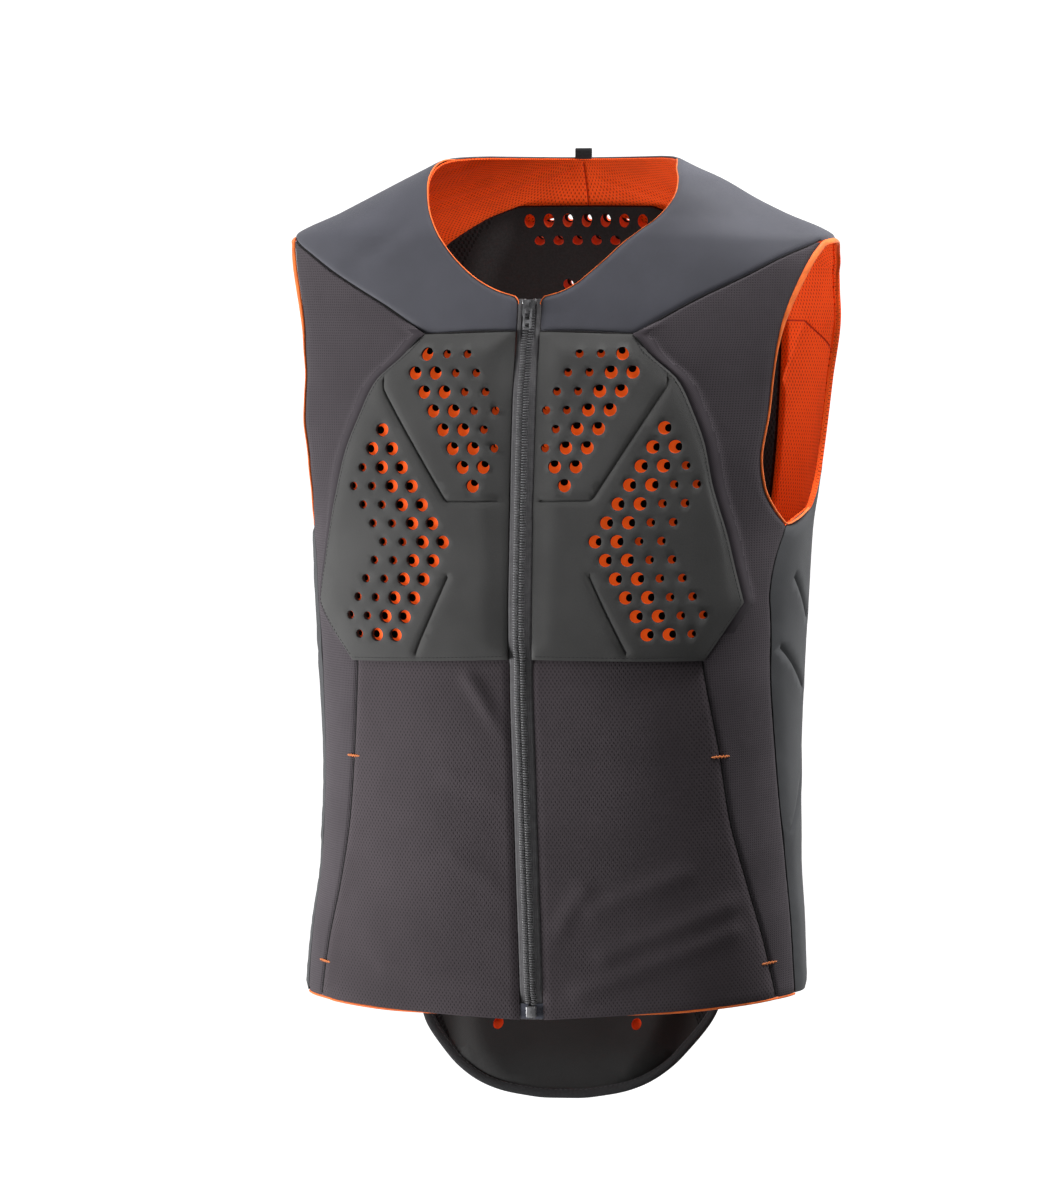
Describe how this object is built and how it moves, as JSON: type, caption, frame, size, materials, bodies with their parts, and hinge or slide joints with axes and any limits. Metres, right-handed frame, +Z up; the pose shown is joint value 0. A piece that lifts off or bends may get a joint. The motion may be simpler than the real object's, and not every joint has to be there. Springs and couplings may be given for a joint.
{
  "type": "protector vest",
  "caption": "Sleeveless zipped vest with perforated foam chest pads and a thick back protector whose tail hangs below the hem, in the shape it takes when worn",
  "frame": {"origin": "middle of the neck, level with the shoulders that carry the vest", "axes": "+Z up along the body, the front with its zip faces -Y, the wearer's left is +X"},
  "size_m": [0.4362, 0.2434, 0.765],
  "materials": {
    "softshell": "smooth slate softshell, faint sheen",
    "chest_foam": "matt moulded foam, green grey",
    "side_mesh": "fine square mesh, purple grey",
    "front_knit": "dimpled knit, purple grey",
    "back_foam": "matt moulded laminate, dark grey",
    "protector_foam": "matt black foam",
    "binding": "woven black tape",
    "orange_lining": "orange mesh lining",
    "orange_piping": "orange elastic piping",
    "zip_tape": "woven grey zip tape",
    "zip_coil": "moulded nylon coil",
    "zip_metal": "dark grey satin lacquer"
  },
  "bodies": {
    "vest": {"yoke_left": "softshell", "yoke_right": "softshell", "chest_pad_left": "chest_foam", "chest_pad_right": "chest_foam", "side_panel_left": "side_mesh", "side_panel_right": "side_mesh", "front_panel_left": "front_knit", "front_panel_right": "front_knit", "back_panel": "back_foam", "back_protector": "protector_foam", "tail_binding": "binding", "hanger_loop": "binding", "yoke_lining_left": "orange_lining", "yoke_lining_right": "orange_lining", "back_lining_left": "orange_lining", "back_lining_right": "orange_lining", "neck_piping_left": "orange_piping", "neck_piping_right": "orange_piping", "armhole_piping_left": "orange_piping", "armhole_piping_right": "orange_piping", "hem_edge_left": "orange_piping", "hem_edge_right": "orange_piping", "zip_tape_left": "zip_tape", "zip_tape_right": "zip_tape", "zip_coil_left": "zip_coil", "zip_coil_right": "zip_coil", "zip_box": "zip_metal", "zip_slider": "zip_metal", "zip_stop_left": "zip_metal", "zip_stop_right": "zip_metal"},
    "puller": {"zip_puller": "zip_metal"}
  },
  "joints": [
    {"name": "puller_hinge", "type": "hinge", "parent": "vest", "child": "puller", "pos_m": [0, -0.09451, -0.11292], "axis": [-1, 0, 0], "range_deg": [0, 165]}
  ]
}
